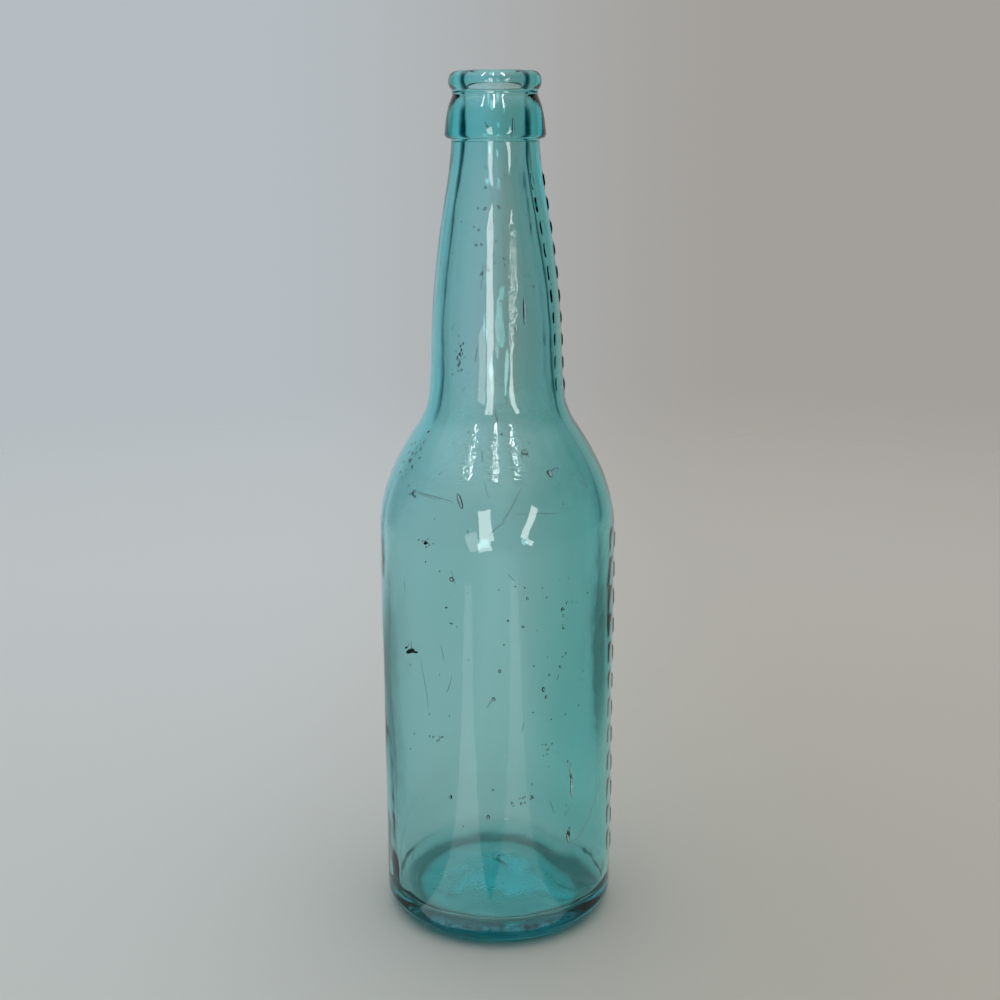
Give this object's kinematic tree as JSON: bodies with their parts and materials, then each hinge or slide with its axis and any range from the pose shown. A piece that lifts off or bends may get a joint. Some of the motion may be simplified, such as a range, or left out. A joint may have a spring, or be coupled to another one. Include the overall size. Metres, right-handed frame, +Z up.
{
  "type": "beer bottle",
  "caption": "Empty turquoise glass beer bottle: straight body, sloping shoulder, full neck and a crown finish with an open mouth.",
  "frame": {"origin": "centre of the bearing ring, on the surface that the bottle stands on", "axes": "+Z up along the bottle's axis, towards the mouth; the raised bars face +X; -Y is the front"},
  "size_m": [0.0704, 0.07, 0.2525],
  "materials": {
    "bottle_glass": "fire-polished mould-blown turquoise glass with seeds"
  },
  "bodies": {
    "root": {"bottle": "bottle_glass"}
  },
  "joints": []
}
